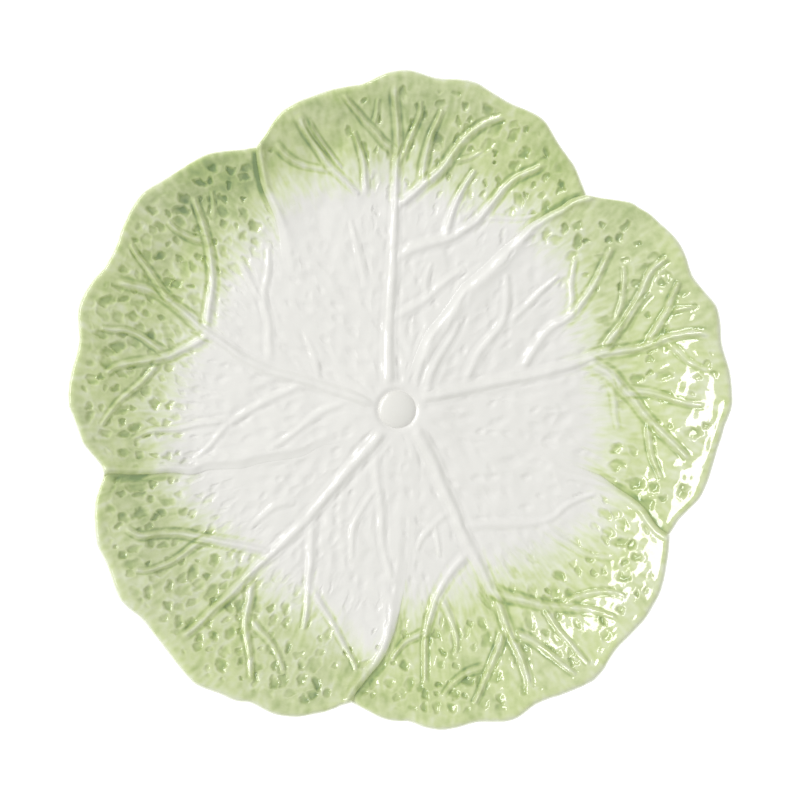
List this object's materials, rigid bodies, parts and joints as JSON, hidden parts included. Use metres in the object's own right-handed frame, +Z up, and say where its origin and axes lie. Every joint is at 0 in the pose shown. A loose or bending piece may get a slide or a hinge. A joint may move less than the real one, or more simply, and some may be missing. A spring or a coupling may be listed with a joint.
{
  "type": "cabbage leaf plate",
  "caption": "Round glazed earthenware plate cast as a ring of overlapping cabbage leaves with raised veins, a domed stalk in the middle and a foot ring.",
  "frame": {"origin": "under the middle of the plate, in the plane that it stands on", "axes": "+Z up, +X to the right and +Y to the top of the picture"},
  "size_m": [0.25, 0.2484, 0.0292],
  "materials": {
    "leaf_glaze": "gloss",
    "stalk_glaze": "gloss",
    "foot_glaze": "satin"
  },
  "bodies": {
    "root": {"leaf_top": "leaf_glaze", "leaf_right": "leaf_glaze", "leaf_lower_right": "leaf_glaze", "leaf_lower_left": "leaf_glaze", "leaf_left": "leaf_glaze", "stalk_button": "stalk_glaze", "foot_ring": "foot_glaze"}
  },
  "joints": []
}
